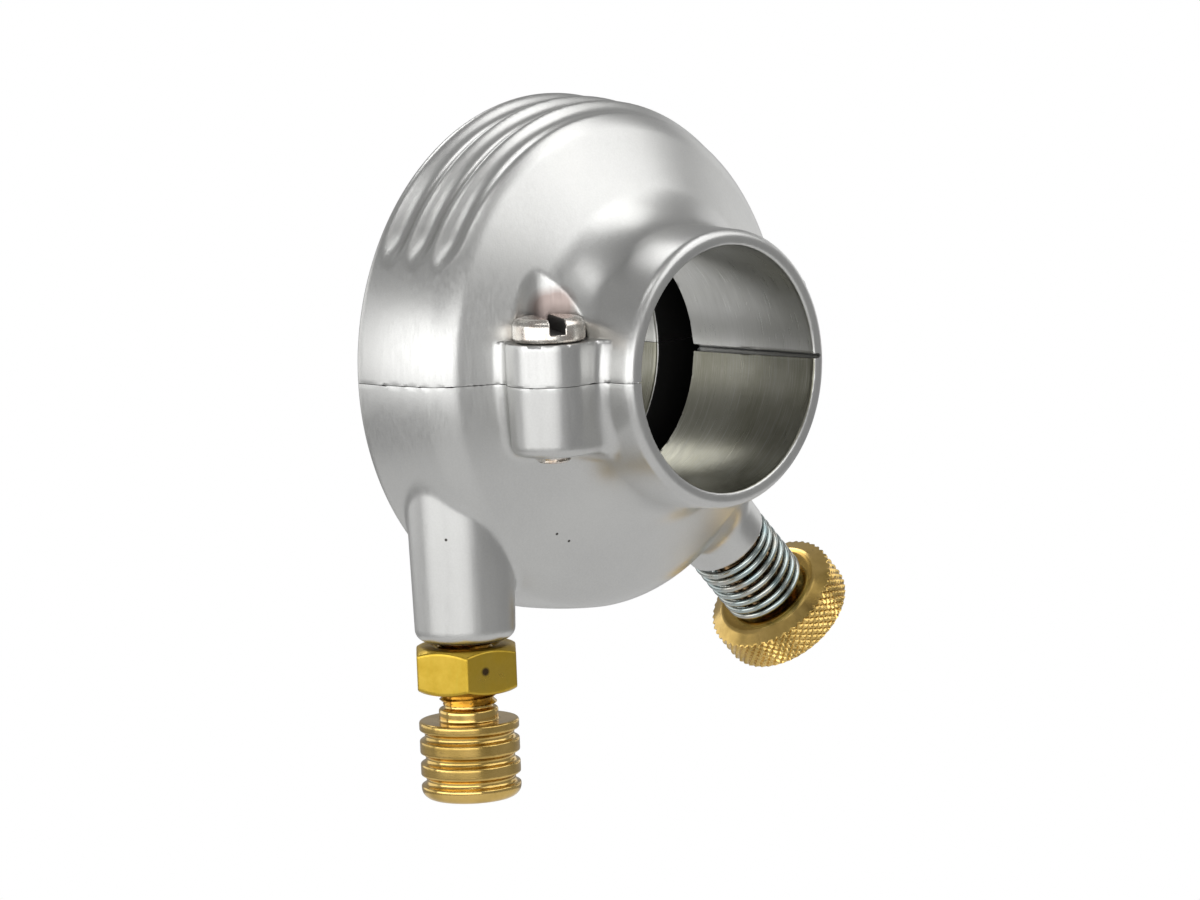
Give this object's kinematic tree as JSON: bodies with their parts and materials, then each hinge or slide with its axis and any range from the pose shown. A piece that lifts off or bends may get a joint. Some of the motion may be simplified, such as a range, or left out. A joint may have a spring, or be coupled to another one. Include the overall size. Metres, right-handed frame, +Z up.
{
  "type": "twist grip throttle clamp housing",
  "caption": "Split round clamp housing of a twist-grip throttle, with a handlebar neck, side screws, a brass cable adjuster with locknut and a sprung knurled friction thumbscrew.",
  "frame": {"origin": "on the handlebar's axis, in the plane of the neck's end face", "axes": "+X along the handlebar, out of the neck and away from the grip; +Z up, square to the plane where the halves part; the cable leaves on the -Y side"},
  "size_m": [0.0297, 0.0636, 0.0718],
  "materials": {
    "cast_aluminium": "satin, fine blasted and brushed",
    "nickel_plated_steel": "nickel plated",
    "turned_brass": "turned, lightly polished",
    "yellow_brass": "milled, lightly spotted",
    "zinc_plated_steel": "bright zinc plated",
    "friction_compound": "matt"
  },
  "bodies": {
    "lower_housing": {"lower_housing": "cast_aluminium", "friction_spring": "zinc_plated_steel"},
    "upper_housing": {"upper_housing": "cast_aluminium"},
    "clamp_screw_front": {"clamp_screw_front": "nickel_plated_steel"},
    "clamp_screw_rear": {"clamp_screw_rear": "nickel_plated_steel"},
    "cable_adjuster": {"cable_adjuster": "turned_brass"},
    "adjuster_locknut": {"adjuster_locknut": "yellow_brass"},
    "friction_pad": {"friction_pad": "friction_compound"},
    "friction_thumbscrew": {"friction_thumbscrew": "turned_brass"}
  },
  "joints": [
    {"name": "upper_housing_lift", "type": "slide", "parent": "lower_housing", "child": "upper_housing", "axis": [0, 0, 1], "range_m": [0, 0.03]},
    {"name": "clamp_screw_front_turn", "type": "hinge", "parent": "upper_housing", "child": "clamp_screw_front", "pos_m": [-0.0083, -0.0176, 0], "axis": [0, 0, 1], "continuous": true},
    {"name": "clamp_screw_rear_turn", "type": "hinge", "parent": "lower_housing", "child": "clamp_screw_rear", "pos_m": [-0.0108, 0.0171, 0], "axis": [0, 0, -1], "continuous": true},
    {"name": "cable_adjuster_travel", "type": "slide", "parent": "lower_housing", "child": "cable_adjuster", "axis": [0, 0, -1], "range_m": [-0.0003, 0.006]},
    {"name": "adjuster_locknut_turn", "type": "hinge", "parent": "cable_adjuster", "child": "adjuster_locknut", "pos_m": [-0.02115, -0.019, -0.0302], "axis": [0, 0, 1], "continuous": true},
    {"name": "friction_feed", "type": "slide", "parent": "lower_housing", "child": "friction_pad", "axis": [0, -0.6921, 0.7218], "range_m": [-0.00205, 0.00105], "deforming": ["friction_spring"]},
    {"name": "friction_thumbscrew_turn", "type": "hinge", "parent": "friction_pad", "child": "friction_thumbscrew", "pos_m": [-0.0222, 0, 0], "axis": [0, -0.6921, 0.7218], "range_deg": [-720, 360]}
  ],
  "couplings": [
    {"joint": "friction_feed", "follows": "friction_thumbscrew_turn", "m_per_rad": 0.00015915}
  ]
}
